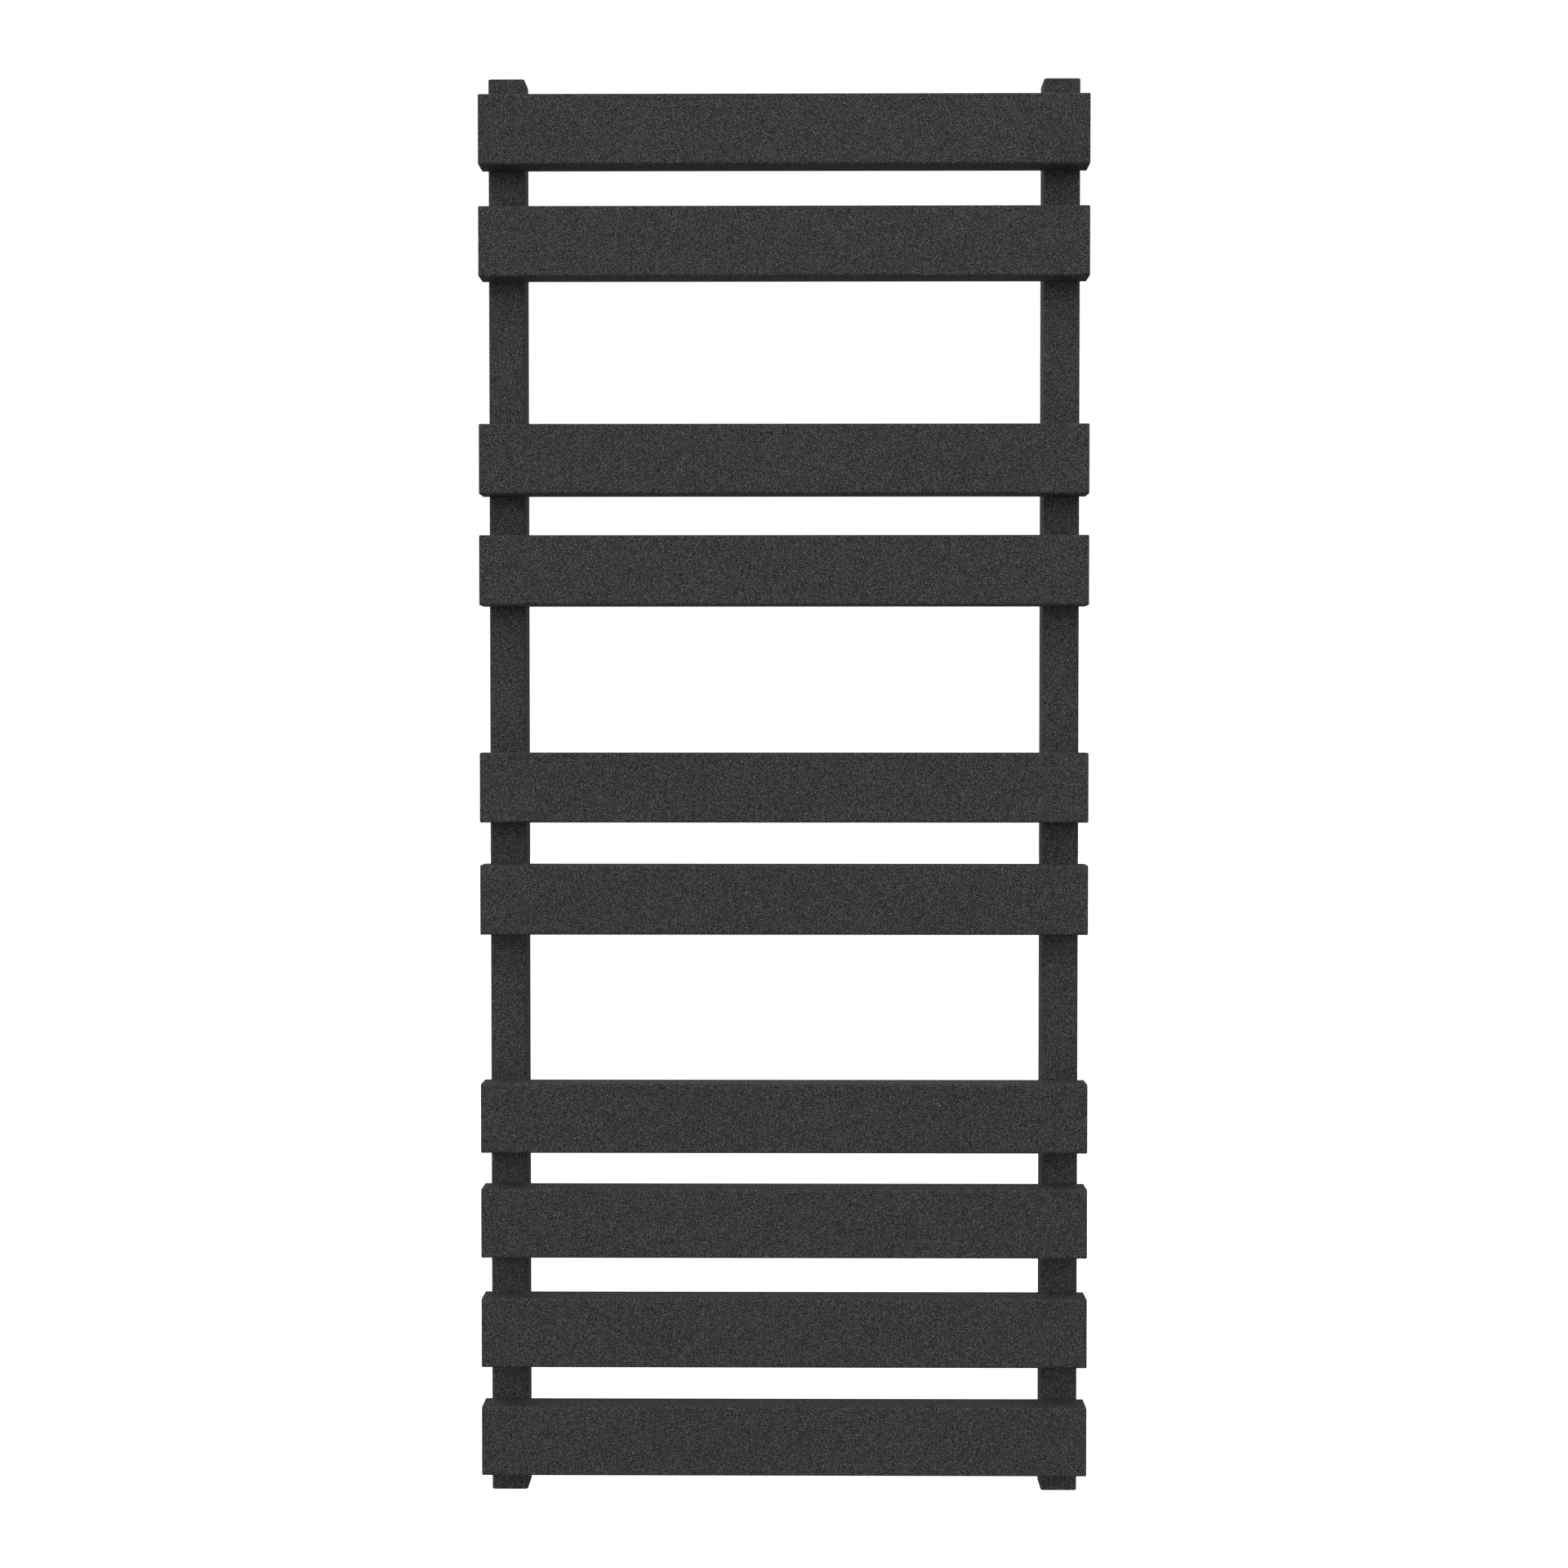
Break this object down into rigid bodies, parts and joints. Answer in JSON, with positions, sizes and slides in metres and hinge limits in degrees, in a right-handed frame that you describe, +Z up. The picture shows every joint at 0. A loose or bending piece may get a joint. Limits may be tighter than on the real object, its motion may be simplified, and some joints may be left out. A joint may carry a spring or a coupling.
{
  "type": "towel warmer rack",
  "caption": "Wall-hung ladder towel warmer: flat horizontal bars in spaced groups across square uprights, with adjustable wall brackets, bottom valve ports and an air vent.",
  "frame": {"origin": "centre of the four wall screws' pattern, on the plane of the wall", "axes": "+Y into the wall, so the bars face -Y; +Z up along the uprights; +X to the right as the rack is faced"},
  "size_m": [0.5, 0.1015, 1.1755],
  "materials": {
    "powder_coat": "fine textured anthracite powder coat, matt",
    "plain_steel": "plain turned steel inside the welded tubes",
    "zinc_steel": "bright zinc plated, turned",
    "black_steel": "black oxide, lightly oiled",
    "plated_brass": "nickel plated brass, satin",
    "seal_rubber": "black EPDM rubber",
    "white_plastic": "moulded white plastic"
  },
  "bodies": {
    "wall_side": {"lower_left_wall_socket": "powder_coat", "upper_left_wall_socket": "powder_coat", "lower_right_wall_socket": "powder_coat", "upper_right_wall_socket": "powder_coat"},
    "rack": {"bar_01": "powder_coat", "bar_01_end_caps": "powder_coat", "bar_02": "powder_coat", "bar_02_end_caps": "powder_coat", "bar_03": "powder_coat", "bar_03_end_caps": "powder_coat", "bar_04": "powder_coat", "bar_04_end_caps": "powder_coat", "bar_05": "powder_coat", "bar_05_end_caps": "powder_coat", "bar_06": "powder_coat", "bar_06_end_caps": "powder_coat", "bar_07": "powder_coat", "bar_07_end_caps": "powder_coat", "bar_08": "powder_coat", "bar_08_end_caps": "powder_coat", "bar_09": "powder_coat", "bar_09_end_caps": "powder_coat", "bar_10": "powder_coat", "bar_10_end_caps": "powder_coat", "left_upright": "powder_coat", "left_top_cap": "powder_coat", "left_foot_cap": "powder_coat", "left_valve_socket": "plain_steel", "left_ferrules": "plain_steel", "right_upright": "powder_coat", "right_top_cap": "powder_coat", "right_foot_cap": "powder_coat", "right_valve_socket": "plain_steel", "right_ferrules": "plain_steel", "lower_left_boss": "plain_steel", "lower_left_spindle": "zinc_steel", "upper_left_boss": "plain_steel", "upper_left_spindle": "zinc_steel", "lower_right_boss": "plain_steel", "lower_right_spindle": "zinc_steel", "upper_right_boss": "plain_steel", "upper_right_spindle": "zinc_steel", "vent_socket": "plain_steel", "vent_seal": "seal_rubber", "vent_plug": "plated_brass", "blanking_socket": "plain_steel", "blanking_seal": "seal_rubber", "blanking_plug": "plated_brass"},
    "lower_left_grub": {"lower_left_grub_screw": "black_steel"},
    "upper_left_grub": {"upper_left_grub_screw": "black_steel"},
    "lower_right_grub": {"lower_right_grub_screw": "black_steel"},
    "upper_right_grub": {"upper_right_grub_screw": "black_steel"},
    "bleed_screw": {"bleed_screw": "plated_brass"},
    "vent_spout": {"vent_spout": "white_plastic"}
  },
  "joints": [
    {"name": "wall_distance", "type": "slide", "parent": "wall_side", "child": "rack", "axis": [0, -1, 0], "range_m": [-0.008, 0.008]},
    {"name": "lower_left_grub_turn", "type": "hinge", "parent": "wall_side", "child": "lower_left_grub", "pos_m": [-0.23, -0.0305, -0.465], "axis": [0, 0, -1], "range_deg": [0, 720]},
    {"name": "upper_left_grub_turn", "type": "hinge", "parent": "wall_side", "child": "upper_left_grub", "pos_m": [-0.23, -0.0305, 0.465], "axis": [0, 0, -1], "range_deg": [0, 720]},
    {"name": "lower_right_grub_turn", "type": "hinge", "parent": "wall_side", "child": "lower_right_grub", "pos_m": [0.23, -0.0305, -0.465], "axis": [0, 0, -1], "range_deg": [0, 720]},
    {"name": "upper_right_grub_turn", "type": "hinge", "parent": "wall_side", "child": "upper_right_grub", "pos_m": [0.23, -0.0305, 0.465], "axis": [0, 0, -1], "range_deg": [0, 720]},
    {"name": "bleed_screw_turn", "type": "hinge", "parent": "rack", "child": "bleed_screw", "pos_m": [0.23, -0.036, 0.555], "axis": [0, 1, 0], "range_deg": [0, 540]},
    {"name": "vent_spout_turn", "type": "hinge", "parent": "rack", "child": "vent_spout", "pos_m": [0.23, -0.0377, 0.555], "axis": [0, 1, 0], "continuous": true}
  ]
}
